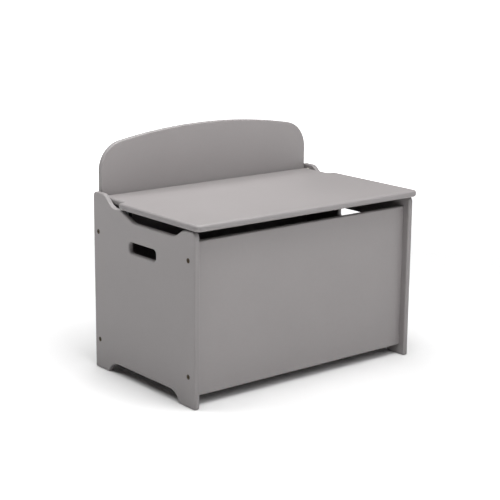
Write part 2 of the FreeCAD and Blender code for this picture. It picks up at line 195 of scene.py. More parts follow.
def add(tree, kind, links=None, **settings):
    """Adds one node: settings are its properties, links its sockets' values or what they are fed by."""
    node = tree.nodes.new(kind)
    for name, value in settings.items():
        setattr(node, name, value)
    for socket, value in (links or {}).items():
        if isinstance(value, bpy.types.NodeSocket):
            tree.links.new(value, node.inputs[socket])
        else:
            node.inputs[socket].default_value = value
    return node


def new_material(name):
    """A new material, its emptied tree and the Principled shader on its output."""
    material = bpy.data.materials.new(name)
    material.use_nodes = True
    tree = material.node_tree
    tree.nodes.clear()
    shader = add(tree, "ShaderNodeBsdfPrincipled")
    add(tree, "ShaderNodeOutputMaterial", {"Surface": shader.outputs["BSDF"]})
    return material, tree, shader


def painted_mdf(name, edge_axis):
    """Satin paint sprayed on MDF: even flat faces with a faint orange peel, cut edges that drink it in."""
    finish = bpy.context.scene.toy_box_finish
    material, tree, shader = new_material(name)
    place = add(tree, "ShaderNodeTexCoord")
    spot = place.outputs["Object"]
    # How far a point's surface has turned from the board's face towards its cut edge.
    along = add(
        tree,
        "ShaderNodeVectorMath",
        {0: place.outputs["Normal"], 1: edge_axis},
        operation="DOT_PRODUCT",
    )
    size = add(tree, "ShaderNodeMath", {0: along.outputs["Value"]}, operation="ABSOLUTE")
    edge = add(
        tree,
        "ShaderNodeMapRange",
        {"Value": size.outputs[0], "From Min": 0.85, "From Max": 0.25, "To Min": 0.0, "To Max": 1.0},
        interpolation_type="SMOOTHSTEP",
    )
    # Slow drift in the film's thickness, about a hand's breadth across.
    drift = add(
        tree,
        "ShaderNodeTexNoise",
        {"Vector": spot, "Scale": spaced(110), "Detail": 3.0, "Roughness": 0.5},
    )
    # Fine mottle from pigment and overspray, a few millimetres across.
    mottle = add(
        tree,
        "ShaderNodeTexNoise",
        {"Vector": spot, "Scale": spaced(4.5), "Detail": 4.0, "Roughness": 0.6},
    )
    tone = add(
        tree,
        "ShaderNodeMix",
        {"Factor": 0.4, 2: drift.outputs["Fac"], 3: mottle.outputs["Fac"]},
        data_type="FLOAT",
    )
    shade = add(tree, "ShaderNodeValToRGB", {"Fac": tone.outputs[0]})
    shade.color_ramp.elements[0].position = 0.3
    shade.color_ramp.elements[0].color = rgba(finish.paint, 0.965)
    shade.color_ramp.elements[1].position = 0.7
    shade.color_ramp.elements[1].color = rgba(finish.paint, 1.03)
    dull = add(
        tree,
        "ShaderNodeMix",
        {"Factor": edge.outputs[0], 6: shade.outputs["Color"]},
        data_type="RGBA",
    )
    dulled = add(
        tree,
        "ShaderNodeHueSaturation",
        {"Color": shade.outputs["Color"], "Value": 0.94, "Saturation": 0.9},
    )
    tree.links.new(dulled.outputs["Color"], dull.inputs[7])
    tree.links.new(dull.outputs[2], shader.inputs["Base Color"])
    # Satin gloss: a little patchy on the faces, duller on the cut edges.
    gloss = add(
        tree,
        "ShaderNodeMapRange",
        {"Value": tone.outputs[0], "From Min": 0.3, "From Max": 0.7, "To Min": 0.43, "To Max": 0.5},
    )
    rough = add(
        tree,
        "ShaderNodeMath",
        {0: edge.outputs[0], 1: 0.12, 2: gloss.outputs[0]},
        operation="MULTIPLY_ADD",
    )
    tree.links.new(rough.outputs[0], shader.inputs["Roughness"])
    shader.inputs["IOR"].default_value = 1.5
    # Orange peel: shallow round ripples, which break up the highlights.
    peel = add(
        tree,
        "ShaderNodeTexNoise",
        {"Vector": spot, "Scale": 1 / finish.paint_peel, "Detail": 1.0, "Roughness": 0.4},
    )
    skin = add(
        tree,
        "ShaderNodeBump",
        {"Height": peel.outputs["Fac"], "Strength": 0.35, "Distance": 0.03 * MM},
    )
    # Cut edges: short fibres lift under the paint, along the board's layers.
    stretched = add(
        tree,
        "ShaderNodeMapping",
        {"Vector": spot, "Scale": [1.0 if abs(c) > 0.5 else 0.35 for c in edge_axis]},
    )
    fibre = add(
        tree,
        "ShaderNodeTexNoise",
        {"Vector": stretched.outputs[0], "Scale": 1 / finish.paint_fibre, "Detail": 3.0, "Roughness": 0.7},
    )
    lifted = add(
        tree, "ShaderNodeMath", {0: fibre.outputs["Fac"], 1: edge.outputs[0]}, operation="MULTIPLY"
    )
    grainy = add(
        tree,
        "ShaderNodeBump",
        {"Height": lifted.outputs[0], "Normal": skin.outputs[0], "Strength": 0.5, "Distance": 0.05 * MM},
    )
    tree.links.new(grainy.outputs[0], shader.inputs["Normal"])
    return material


def plated_steel(name, colour, roughness, tarnish):
    """Plated steel: a bright metal film with fine tumbling marks, darker where the plating is thin."""
    material, tree, shader = new_material(name)
    spot = add(tree, "ShaderNodeTexCoord").outputs["Object"]
    patches = add(
        tree,
        "ShaderNodeTexNoise",
        {"Vector": spot, "Scale": spaced(2.0), "Detail": 5.0, "Roughness": 0.65},
    )
    shade = add(tree, "ShaderNodeValToRGB", {"Fac": patches.outputs["Fac"]})
    shade.color_ramp.elements[0].position = 0.35
    shade.color_ramp.elements[0].color = rgba(colour, tarnish)
    shade.color_ramp.elements[1].position = 0.6
    shade.color_ramp.elements[1].color = rgba(colour)
    tree.links.new(shade.outputs["Color"], shader.inputs["Base Color"])
    shader.inputs["Metallic"].default_value = 1.0
    marks = add(
        tree,
        "ShaderNodeTexNoise",
        {"Vector": spot, "Scale": spaced(0.4), "Detail": 2.0, "Roughness": 0.5},
    )
    gloss = add(
        tree,
        "ShaderNodeMapRange",
        {"Value": marks.outputs["Fac"], "To Min": roughness - 0.08, "To Max": roughness + 0.12},
    )
    tree.links.new(gloss.outputs[0], shader.inputs["Roughness"])
    bump = add(
        tree,
        "ShaderNodeBump",
        {"Height": marks.outputs["Fac"], "Strength": 0.4, "Distance": 0.02 * MM},
    )
    tree.links.new(bump.outputs[0], shader.inputs["Normal"])
    return material


def powder_coated_steel(name):
    """Black powder coat, baked on stamped steel: a fine pebbled skin, half matt."""
    finish = bpy.context.scene.toy_box_finish
    material, tree, shader = new_material(name)
    spot = add(tree, "ShaderNodeTexCoord").outputs["Object"]
    pebble = add(
        tree, "ShaderNodeTexVoronoi", {"Vector": spot, "Scale": spaced(0.6)}, feature="SMOOTH_F1"
    )
    cloud = add(tree, "ShaderNodeTexNoise", {"Vector": spot, "Scale": spaced(8), "Detail": 3.0})
    shade = add(tree, "ShaderNodeValToRGB", {"Fac": cloud.outputs["Fac"]})
    shade.color_ramp.elements[0].color = rgba(finish.powder, 0.8)
    shade.color_ramp.elements[1].color = rgba(finish.powder, 1.25)
    tree.links.new(shade.outputs["Color"], shader.inputs["Base Color"])
    gloss = add(
        tree, "ShaderNodeMapRange", {"Value": cloud.outputs["Fac"], "To Min": 0.4, "To Max": 0.52}
    )
    tree.links.new(gloss.outputs[0], shader.inputs["Roughness"])
    bump = add(
        tree,
        "ShaderNodeBump",
        {"Height": pebble.outputs["Distance"], "Strength": 0.4, "Distance": 0.08 * MM},
    )
    tree.links.new(bump.outputs[0], shader.inputs["Normal"])
    return material


def moulded_nylon(name):
    """Natural nylon, injection moulded: milky, a little light goes in, faint flow marks."""
    finish = bpy.context.scene.toy_box_finish
    material, tree, shader = new_material(name)
    spot = add(tree, "ShaderNodeTexCoord").outputs["Object"]
    flow = add(tree, "ShaderNodeTexNoise", {"Vector": spot, "Scale": spaced(3), "Detail": 2.0})
    shade = add(tree, "ShaderNodeValToRGB", {"Fac": flow.outputs["Fac"]})
    shade.color_ramp.elements[0].color = rgba(finish.nylon, 0.93)
    shade.color_ramp.elements[1].color = rgba(finish.nylon, 1.02)
    tree.links.new(shade.outputs["Color"], shader.inputs["Base Color"])
    shader.inputs["IOR"].default_value = 1.53
    shader.inputs["Subsurface Weight"].default_value = 0.15
    shader.inputs["Subsurface Radius"].default_value = (2.0 * MM, 1.5 * MM, 1.0 * MM)
    gloss = add(
        tree, "ShaderNodeMapRange", {"Value": flow.outputs["Fac"], "To Min": 0.34, "To Max": 0.48}
    )
    tree.links.new(gloss.outputs[0], shader.inputs["Roughness"])
    return material


def moulded_rubber(name):
    """Black rubber pads: matt, with a fine bloom."""
    finish = bpy.context.scene.toy_box_finish
    material, tree, shader = new_material(name)
    spot = add(tree, "ShaderNodeTexCoord").outputs["Object"]
    bloom = add(tree, "ShaderNodeTexNoise", {"Vector": spot, "Scale": spaced(1.1), "Detail": 3.0})
    shade = add(tree, "ShaderNodeValToRGB", {"Fac": bloom.outputs["Fac"]})
    shade.color_ramp.elements[0].color = rgba(finish.rubber, 0.85)
    shade.color_ramp.elements[1].color = rgba(finish.rubber, 1.3)
    tree.links.new(shade.outputs["Color"], shader.inputs["Base Color"])
    gloss = add(
        tree, "ShaderNodeMapRange", {"Value": bloom.outputs["Fac"], "To Min": 0.7, "To Max": 0.88}
    )
    tree.links.new(gloss.outputs[0], shader.inputs["Roughness"])
    bump = add(
        tree,
        "ShaderNodeBump",
        {"Height": bloom.outputs["Fac"], "Strength": 0.3, "Distance": 0.04 * MM},
    )
    tree.links.new(bump.outputs[0], shader.inputs["Normal"])
    return material


def turned_beech(name):
    """Turned beech dowel, unpainted: growth lines along its length with short dark rays."""
    finish = bpy.context.scene.toy_box_finish
    material, tree, shader = new_material(name)
    spot = add(tree, "ShaderNodeTexCoord").outputs["Object"]
    stretch = (spaced(17), spaced(1.1), spaced(1.1))
    lengthwise = add(tree, "ShaderNodeMapping", {"Vector": spot, "Scale": stretch})
    growth = add(
        tree, "ShaderNodeTexNoise", {"Vector": lengthwise.outputs[0], "Scale": 1.0, "Detail": 4.0}
    )
    shade = add(tree, "ShaderNodeValToRGB", {"Fac": growth.outputs["Fac"]})
    shade.color_ramp.elements[0].position = 0.35
    shade.color_ramp.elements[0].color = rgba(finish.beech, 0.72)
    shade.color_ramp.elements[1].position = 0.6
    shade.color_ramp.elements[1].color = rgba(finish.beech, 1.05)
    tree.links.new(shade.outputs["Color"], shader.inputs["Base Color"])
    gloss = add(
        tree, "ShaderNodeMapRange", {"Value": growth.outputs["Fac"], "To Min": 0.5, "To Max": 0.65}
    )
    tree.links.new(gloss.outputs[0], shader.inputs["Roughness"])
    bump = add(
        tree,
        "ShaderNodeBump",
        {"Height": growth.outputs["Fac"], "Strength": 0.3, "Distance": 0.06 * MM},
    )
    tree.links.new(bump.outputs[0], shader.inputs["Normal"])
    return material


def finished(name, maker, **settings):
    """The material of that name, made the first time it is asked for."""
    return bpy.data.materials.get(name) or maker(name, **settings)


def paint_for(axis):
    """The boards' paint; axis is the board's thickness direction, one of X, Y and Z."""
    vector = tuple(1.0 if letter == axis else 0.0 for letter in "XYZ")
    return finished(f"satin_paint_sprayed_on_mdf_{axis.lower()}", painted_mdf, edge_axis=vector)


def bronze():
    """Dark brown antique plating with darker patches."""
    colour = tuple(bpy.context.scene.toy_box_finish.bronze)
    name = "antique_bronze_plated_steel"
    return finished(name, plated_steel, colour=colour, roughness=0.34, tarnish=0.45)


def zinc():
    """Bright zinc, a little patchy."""
    colour = tuple(bpy.context.scene.toy_box_finish.zinc)
    return finished("zinc_plated_steel", plated_steel, colour=colour, roughness=0.3, tarnish=0.75)


def powder_coat():
    """The stays' coating."""
    return finished("black_powder_coated_steel", powder_coated_steel)


def dress(node, material):
    """Gives a CAD node's object that material in every slot."""
    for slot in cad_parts[node].material_slots:
        slot.material = material


# Geometry trees


def geometry_tree(name, sizes):
    """A new geometry tree with an input for each named size, and its input sockets."""
    tree = bpy.data.node_groups.new(name, "GeometryNodeTree")
    tree.interface.new_socket("Geometry", in_out="INPUT", socket_type="NodeSocketGeometry")
    for label, kind in sizes.items():
        tree.interface.new_socket(label, in_out="INPUT", socket_type="NodeSocket" + kind)
    tree.interface.new_socket("Geometry", in_out="OUTPUT", socket_type="NodeSocketGeometry")
    return tree, add(tree, "NodeGroupInput").outputs


def close_tree(tree, sizes, solid):
    """Ends a tree: a real, painted copy of the solid on every place, turned the way the place faces."""
    facing = add(
        tree, "GeometryNodeInputNamedAttribute", {"Name": "facing"}, data_type="FLOAT_VECTOR"
    )
    turn = add(
        tree, "FunctionNodeAlignRotationToVector", {"Vector": facing.outputs["Attribute"]}, axis="Z"
    )
    copies = add(
        tree,
        "GeometryNodeInstanceOnPoints",
        {"Points": sizes["Geometry"], "Instance": solid, "Rotation": turn.outputs["Rotation"]},
    )
    real = add(tree, "GeometryNodeRealizeInstances", {"Geometry": copies.outputs["Instances"]})
    smooth = add(tree, "GeometryNodeSetShadeSmooth", {"Geometry": real.outputs[0]}, domain="FACE")
    bend = add(tree, "GeometryNodeInputMeshEdgeAngle")
    soft = add(tree, "FunctionNodeCompare", {0: bend.outputs[0], 1: CREASE}, operation="LESS_THAN")
    creased = add(
        tree,
        "GeometryNodeSetShadeSmooth",
        {"Geometry": smooth.outputs[0], "Shade Smooth": soft.outputs[0]},
        domain="EDGE",
    )
    painted = add(
        tree,
        "GeometryNodeSetMaterial",
        {"Geometry": creased.outputs[0], "Material": sizes["Material"]},
    )
    add(tree, "NodeGroupOutput", {"Geometry": painted.outputs[0]})
    return tree


def threaded_tree(name, cross_recess):
    """A countersunk screw or bolt: a turned surface that follows the head, the thread and the point.

    Its head lies at the place and its point ahead. The recess is a cross or a hexagon socket."""
    tree, sizes = geometry_tree(
        name,
        {
            "Head Radius": "Float",
            "Head Depth": "Float",
            "Shank Radius": "Float",
            "Length": "Float",
            "Point Length": "Float",
            "Point Radius": "Float",
            "Pitch": "Float",
            "Thread Depth": "Float",
            "Recess Width": "Float",
            "Recess Depth": "Float",
            "Rows": "Int",
            "Sides": "Int",
            "Material": "Material",
        },
    )

    terms = {socket.name: socket for socket in sizes}
    where = add(
        tree, "ShaderNodeSeparateXYZ", {0: add(tree, "GeometryNodeInputPosition").outputs[0]}
    )
    terms["across"] = where.outputs["X"]
    terms["up"] = where.outputs["Y"]
    # Each line names a value and makes it from the ones before. The first and last rows of the grid
    # close the ends: they sit at the next row's depth, on the axis.
    for name, operation, *inputs in (
        ("seam", "ADD", "Sides", 1.0),
        ("steps", "SUBTRACT", "Rows", 1.0),
        ("inner steps", "SUBTRACT", "steps", 2.0),
        ("down", "ADD", "across", 0.5),
        ("around", "ADD", "up", 0.5),
        ("row", "MULTIPLY", "down", "steps"),
        ("inner row", "SUBTRACT", "row", 1.0),
        ("part", "DIVIDE", "inner row", "inner steps"),
        ("started", "MAXIMUM", "part", 0.0),
        ("share", "MINIMUM", "started", 1.0),
        ("depth", "MULTIPLY", "share", "Length"),
        ("flare", "SUBTRACT", "Head Radius", "Shank Radius"),
        ("taper", "DIVIDE", "flare", "Head Depth"),
        ("drop", "MULTIPLY", "depth", "taper"),
        ("head", "SUBTRACT", "Head Radius", "drop"),
        ("pitches", "DIVIDE", "depth", "Pitch"),
        ("turns", "SUBTRACT", "pitches", "around"),
        ("wave", "PINGPONG", "turns", 0.5),
        ("groove", "MULTIPLY", "wave", 2.0),
        ("sunk", "MULTIPLY", "groove", "Thread Depth"),
        ("shank", "SUBTRACT", "Shank Radius", "sunk"),
        ("to go", "SUBTRACT", "Length", "depth"),
        ("flank", "DIVIDE", "to go", "Point Length"),
        ("point", "MULTIPLY_ADD", "flank", "Shank Radius", "Point Radius"),
        ("wider", "MAXIMUM", "head", "shank"),
        ("body", "MINIMUM", "wider", "point"),
        ("off middle", "ABSOLUTE", "across"),
        ("end row", "COMPARE", "off middle", 0.5, 0.0001),
        ("inner", "SUBTRACT", 1.0, "end row"),
        ("radius", "MULTIPLY", "body", "inner"),
        ("angle", "MULTIPLY", "around", 2 * math.pi),
        ("cosine", "COSINE", "angle"),
        ("sine", "SINE", "angle"),
        ("x", "MULTIPLY", "radius", "cosine"),
        ("y", "MULTIPLY", "radius", "sine"),
        ("deep", "MULTIPLY", "Recess Depth", 2.0),
        ("long", "MULTIPLY", "Head Radius", 1.1),
        ("corner", "DIVIDE", "Recess Width", math.sqrt(3)),
    ):
        links = {index: terms.get(item, item) for index, item in enumerate(inputs)}
        terms[name] = add(tree, "ShaderNodeMath", links, operation=operation).outputs[0]
    grid = add(
        tree,
        "GeometryNodeMeshGrid",
        {"Size X": 1.0, "Size Y": 1.0, "Vertices X": sizes["Rows"], "Vertices Y": terms["seam"]},
    )
    place = add(
        tree, "ShaderNodeCombineXYZ", {"X": terms["x"], "Y": terms["y"], "Z": terms["depth"]}
    )
    rolled = add(
        tree,
        "GeometryNodeSetPosition",
        {"Geometry": grid.outputs["Mesh"], "Position": place.outputs[0]},
    )
    closed = add(
        tree, "GeometryNodeMergeByDistance", {"Geometry": rolled.outputs[0], "Distance": WELD}
    )
    if cross_recess:
        long, width = terms["long"], terms["Recess Width"]
        cutters = []
        for x, y in ((long, width), (width, long)):
            arm = add(tree, "ShaderNodeCombineXYZ", {"X": x, "Y": y, "Z": terms["deep"]})
            cutters.append(add(tree, "GeometryNodeMeshCube", {"Size": arm.outputs[0]}).outputs["Mesh"])
    else:
        cutter = add(
            tree,
            "GeometryNodeMeshCylinder",
            {"Vertices": 6, "Radius": terms["corner"], "Depth": terms["deep"]},
            fill_type="NGON",
        )
        cutters = [cutter.outputs["Mesh"]]
    cut = add(
        tree,
        "GeometryNodeMeshBoolean",
        {"Mesh 1": closed.outputs[0]},
        operation="DIFFERENCE",
        solver="EXACT",
    )
    for cutter in cutters:
        tree.links.new(cutter, cut.inputs["Mesh 2"])
    return close_tree(tree, sizes, cut.outputs["Mesh"])


def rivet_tree(name):
    """A rivet along its facing direction, with a peened dome at the near end, the far end or both."""
    tree, sizes = geometry_tree(
        name,
        {
            "Head Radius": "Float",
            "Head Height": "Float",
            "Shank Radius": "Float",
            "Length": "Float",
            "Dimple Radius": "Float",
            "Near Head": "Bool",
            "Far Head": "Bool",
            "Sides": "Int",
            "Material": "Material",
        },
    )
    middle = add(tree, "ShaderNodeMath", {0: sizes["Length"], 1: 0.5}, operation="MULTIPLY")
    shank = add(
        tree,
        "GeometryNodeMeshCylinder",
        {"Vertices": sizes["Sides"], "Radius": sizes["Shank Radius"], "Depth": sizes["Length"]},
        fill_type="NGON",
    )
    centre = add(tree, "ShaderNodeCombineXYZ", {"Z": middle.outputs[0]})
    core = add(
        tree,
        "GeometryNodeTransform",
        {"Geometry": shank.outputs["Mesh"], "Translation": centre.outputs[0]},
    )
    # A dome is the upper half of a squashed ball; its lower half is pressed flat.
    ball = add(
        tree, "GeometryNodeMeshUVSphere", {"Segments": sizes["Sides"], "Rings": 16, "Radius": 1.0}
    )
    where = add(
        tree, "ShaderNodeSeparateXYZ", {0: add(tree, "GeometryNodeInputPosition").outputs[0]}
    )
    lifted = add(tree, "ShaderNodeMath", {0: where.outputs["Z"], 1: 0.0}, operation="MAXIMUM")
    stretch = add(
        tree,
        "ShaderNodeCombineXYZ",
        {"X": sizes["Head Radius"], "Y": sizes["Head Radius"], "Z": sizes["Head Height"]},
    )
    flat = add(
        tree,
        "ShaderNodeCombineXYZ",
        {"X": where.outputs["X"], "Y": where.outputs["Y"], "Z": lifted.outputs[0]},
    )
    shape = add(
        tree,
        "ShaderNodeVectorMath",
        {0: flat.outputs[0], 1: stretch.outputs[0]},
        operation="MULTIPLY",
    )
    dome = add(
        tree,
        "GeometryNodeSetPosition",
        {"Geometry": ball.outputs["Mesh"], "Position": shape.outputs[0]},
    )
    dent_ball = add(
        tree,
        "GeometryNodeMeshUVSphere",
        {"Segments": 24, "Rings": 12, "Radius": sizes["Dimple Radius"]},
    )
    high = add(
        tree,
        "ShaderNodeMath",
        {0: sizes["Dimple Radius"], 1: 0.7, 2: sizes["Head Height"]},
        operation="MULTIPLY_ADD",
    )
    above = add(tree, "ShaderNodeCombineXYZ", {"Z": high.outputs[0]})
    dent = add(
        tree,
        "GeometryNodeTransform",
        {"Geometry": dent_ball.outputs["Mesh"], "Translation": above.outputs[0]},
    )
    peened = add(
        tree,
        "GeometryNodeMeshBoolean",
        {"Mesh 1": dome.outputs[0], "Mesh 2": dent.outputs[0]},
        operation="DIFFERENCE",
        solver="EXACT",
    )
    seat = add(
        tree, "ShaderNodeMath", {0: sizes["Length"], 1: sizes["Head Height"]}, operation="SUBTRACT"
    )
    far_spot = add(tree, "ShaderNodeCombineXYZ", {"Z": seat.outputs[0]})
    far = add(
        tree,
        "GeometryNodeTransform",
        {"Geometry": peened.outputs["Mesh"], "Translation": far_spot.outputs[0]},
    )
    near_spot = add(tree, "ShaderNodeCombineXYZ", {"Z": sizes["Head Height"]})
    near = add(
        tree,
        "GeometryNodeTransform",
        {
            "Geometry": peened.outputs["Mesh"],
            "Translation": near_spot.outputs[0],
            "Rotation": (math.pi, 0.0, 0.0),
        },
    )
    solid = core.outputs[0]
    for wanted, cap in (("Near Head", near), ("Far Head", far)):
        chosen = add(
            tree,
            "GeometryNodeSwitch",
            {"Switch": sizes[wanted], "True": cap.outputs[0]},
            input_type="GEOMETRY",
        )
        whole = add(tree, "GeometryNodeMeshBoolean", operation="UNION", solver="EXACT")
        tree.links.new(solid, whole.inputs["Mesh 2"])
        tree.links.new(chosen.outputs[0], whole.inputs["Mesh 2"])
        solid = whole.outputs["Mesh"]
    return close_tree(tree, sizes, solid)


def washer_tree(name):
    """A flat washer: a small rectangle swept round a circle."""
    tree, sizes = geometry_tree(
        name,
        {
            "Outer Radius": "Float",
            "Bore Radius": "Float",
            "Thickness": "Float",
            "Sides": "Int",
            "Material": "Material",
        },
    )
    both = add(
        tree, "ShaderNodeMath", {0: sizes["Outer Radius"], 1: sizes["Bore Radius"]}, operation="ADD"
    )
    middle = add(tree, "ShaderNodeMath", {0: both.outputs[0], 1: 0.5}, operation="MULTIPLY")
    width = add(
        tree,
        "ShaderNodeMath",
        {0: sizes["Outer Radius"], 1: sizes["Bore Radius"]},
        operation="SUBTRACT",
    )
    path = add(
        tree,
        "GeometryNodeCurvePrimitiveCircle",
        {"Resolution": sizes["Sides"], "Radius": middle.outputs[0]},
    )
    section = add(
        tree,
        "GeometryNodeCurvePrimitiveQuadrilateral",
        {"Width": width.outputs[0], "Height": sizes["Thickness"]},
    )
    ring = add(
        tree,
        "GeometryNodeCurveToMesh",
        {"Curve": path.outputs["Curve"], "Profile Curve": section.outputs["Curve"]},
    )
    half = add(tree, "ShaderNodeMath", {0: sizes["Thickness"], 1: 0.5}, operation="MULTIPLY")
    up = add(tree, "ShaderNodeCombineXYZ", {"Z": half.outputs[0]})
    lifted = add(
        tree,
        "GeometryNodeTransform",
        {"Geometry": ring.outputs["Mesh"], "Translation": up.outputs[0]},
    )
    return close_tree(tree, sizes, lifted.outputs[0])


def grown(name, tree, places, values):
    """The plain mesh object that a tree makes at places, a list of (point, facing direction)."""
    seed_mesh = bpy.data.meshes.new(name + "_places")
    seed_mesh.from_pydata([point for point, _ in places], [], [])
    facing = seed_mesh.attributes.new("facing", "FLOAT_VECTOR", "POINT")
    for datum, (_, direction) in zip(facing.data, places):
        datum.vector = direction
    seed = bpy.data.objects.new(name + "_places", seed_mesh)
    modifier = seed.modifiers.new(tree.name, "NODES")
    modifier.node_group = tree
    for item in tree.interface.items_tree:
        if item.in_out == "INPUT" and item.name in values:
            modifier[item.identifier] = values[item.name]
    bpy.context.scene.collection.objects.link(seed)
    graph = bpy.context.evaluated_depsgraph_get()
    mesh = bpy.data.meshes.new_from_object(seed.evaluated_get(graph))
    bpy.data.objects.remove(seed)
    mesh.name = name
    mesh.materials.clear()
    mesh.materials.append(values["Material"])
    mesh.polygons.foreach_set("material_index", [0] * len(mesh.polygons))
    return shown(name, mesh)


# Meshes


def shown(name, mesh):
    """Links a new object with that mesh. It sits at the origin, its place is in its mesh."""
    if not mesh.polygons:
        raise RuntimeError(f"{name} came out empty")
    piece = bpy.data.objects.new(name, mesh)
    bpy.context.scene.collection.objects.link(piece)
    return piece


def stand_in(piece, body, slot, *nodes):
    """The piece rides on a body and stands for CAD nodes, which it hides. The slot is not used."""
    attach(piece, body)
    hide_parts(*nodes)


def eased_copy(name, node, width, material):
    """A copy of a CAD node, its triangles merged, with its sharp edges rounded over by width."""
    level = math.radians(1)
    sharp = math.radians(40)
    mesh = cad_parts[node].data.copy()
    mesh.name = name
    if "custom_normal" in mesh.attributes:
        mesh.attributes.remove(mesh.attributes["custom_normal"])
    shape = bmesh.new()
    shape.from_mesh(mesh)
    bmesh.ops.remove_doubles(shape, verts=shape.verts, dist=2 * WELD)
    bmesh.ops.dissolve_limit(shape, angle_limit=level, verts=shape.verts, edges=shape.edges, delimit=set())
    bmesh.ops.bevel(
        shape,
        geom=[edge for edge in shape.edges if edge.calc_face_angle(0) > sharp],
        offset=width,
        offset_type="OFFSET",
        segments=3,
        profile=0.5,
        affect="EDGES",
        clamp_overlap=True,
    )
    for face in shape.faces:
        face.smooth = True
    shape.to_mesh(mesh)
    shape.free()
    mesh.materials.clear()
    mesh.materials.append(material)
    mesh.polygons.foreach_set("material_index", [0] * len(mesh.polygons))
    piece = shown(name, mesh)
    weighted = piece.modifiers.new("face_weighted_normals", "WEIGHTED_NORMAL")
    weighted.keep_sharp = True
    return piece


# Operators


class TOYBOX_OT_boards(bpy.types.Operator):
    """Paint the seven boards"""

    bl_idname = "toybox.boards"
    bl_label = "Painted boards"

    def execute(self, context):
        for axis, boards in {
            "X": ("side_panel_left", "side_panel_right"),
            "Y": ("front_panel", "back_panel", "backrest"),
            "Z": ("bottom_panel", "lid"),
        }.items():
            for board in boards:
                dress(board, paint_for(axis))
        return {"FINISHED"}


class TOYBOX_OT_bolts(bpy.types.Operator):
    """Make the connector bolts with their hexagon sockets"""

    bl_idname = "toybox.bolts"
    bl_label = "Connector bolts"

    def execute(self, context):
        sizes = context.scene.toy_box_fasteners
        low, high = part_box("panel_bolts")
        inset = sizes.bolt_head_radius
        places = []
        for x, inward in ((low.x, 1), (high.x, -1)):
            for y in (low.y + inset, high.y - inset):
                for z in (low.z + inset, high.z - inset):
                    places.append(((x, y, z), (inward, 0, 0)))
        values = {
            "Head Radius": sizes.bolt_head_radius,
            "Head Depth": sizes.bolt_head,
            "Shank Radius": sizes.bolt_shank,
            "Length": sizes.bolt_length,
            "Point Length": sizes.bolt_point,
            "Point Radius": sizes.bolt_shank - sizes.bolt_point_depth,
            "Pitch": sizes.bolt_pitch,
            "Thread Depth": sizes.bolt_thread,
            "Recess Width": sizes.bolt_socket,
            "Recess Depth": sizes.bolt_socket_depth,
            "Rows": sizes.bolt_rows,
            "Sides": sizes.thread_sides,
            "Material": bronze(),
        }
        bolts = grown("connector_bolts", threaded_tree("hexagon_socket_bolt", False), places, values)
        stand_in(bolts, "box", "bronzed_steel", "panel_bolts")
        return {"FINISHED"}


class TOYBOX_OT_screws(bpy.types.Operator):
    """Make the wood screws of the backrest and the lid stays"""

    bl_idname = "toybox.screws"
    bl_label = "Wood screws"

    def execute(self, context):
        sizes = context.scene.toy_box_fasteners
        tree = threaded_tree("cross_recess_wood_screw", True)

        def screws(name, places, radius, shank, length, material):
            closing_rows = 2
            values = {
                "Head Radius": radius,
                "Head Depth": radius - shank,
                "Shank Radius": shank,
                "Length": length,
                "Point Length": sizes.screw_point,
                "Point Radius": sizes.screw_tip,
                "Pitch": sizes.screw_pitch,
                "Thread Depth": shank / 4,
                "Recess Width": sizes.screw_recess,
                "Recess Depth": radius / 2,
                "Rows": int(length / sizes.screw_pitch * sizes.screw_rows) + closing_rows,
                "Sides": sizes.thread_sides,
                "Material": material,
            }
            return grown(name, tree, places, values)

        low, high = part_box("backrest_screws")
        inset = sizes.screw_head_radius
        places = [
            ((x, high.y, z), (0, -1, 0))
            for x in (low.x + inset, (low.x + high.x) / 2, high.x - inset)
            for z in (low.z + inset, high.z - inset)
        ]
        length = high.y - low.y
        piece = screws("backrest_wood_screws", places, inset, sizes.screw_shank, length, bronze())
        stand_in(piece, "box", "bronzed_steel", "backrest_screws")

        inset = sizes.small_head_radius
        length = sizes.small_length
        low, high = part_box("stay_plate_screws")
        places = [
            ((x, (low.y + high.y) / 2, z), (outward, 0, 0))
            for x, outward in ((low.x + length, -1), (high.x - length, 1))
            for z in (low.z + inset, high.z - inset)
        ]
        piece = screws("stay_plate_wood_screws", places, inset, sizes.small_shank, length, zinc())
        stand_in(piece, "box", "zinc_steel", "stay_plate_screws")

        low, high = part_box("stay_bracket_screws")
        places = [
            ((x, y, low.z), (0, 0, 1))
            for x in (low.x + inset, high.x - inset)
            for y in (low.y + inset, high.y - inset)
        ]
        length = high.z - low.z
        piece = screws("stay_bracket_wood_screws", places, inset, sizes.small_shank, length, zinc())
        stand_in(piece, "lid", "zinc_steel", "stay_bracket_screws")
        return {"FINISHED"}


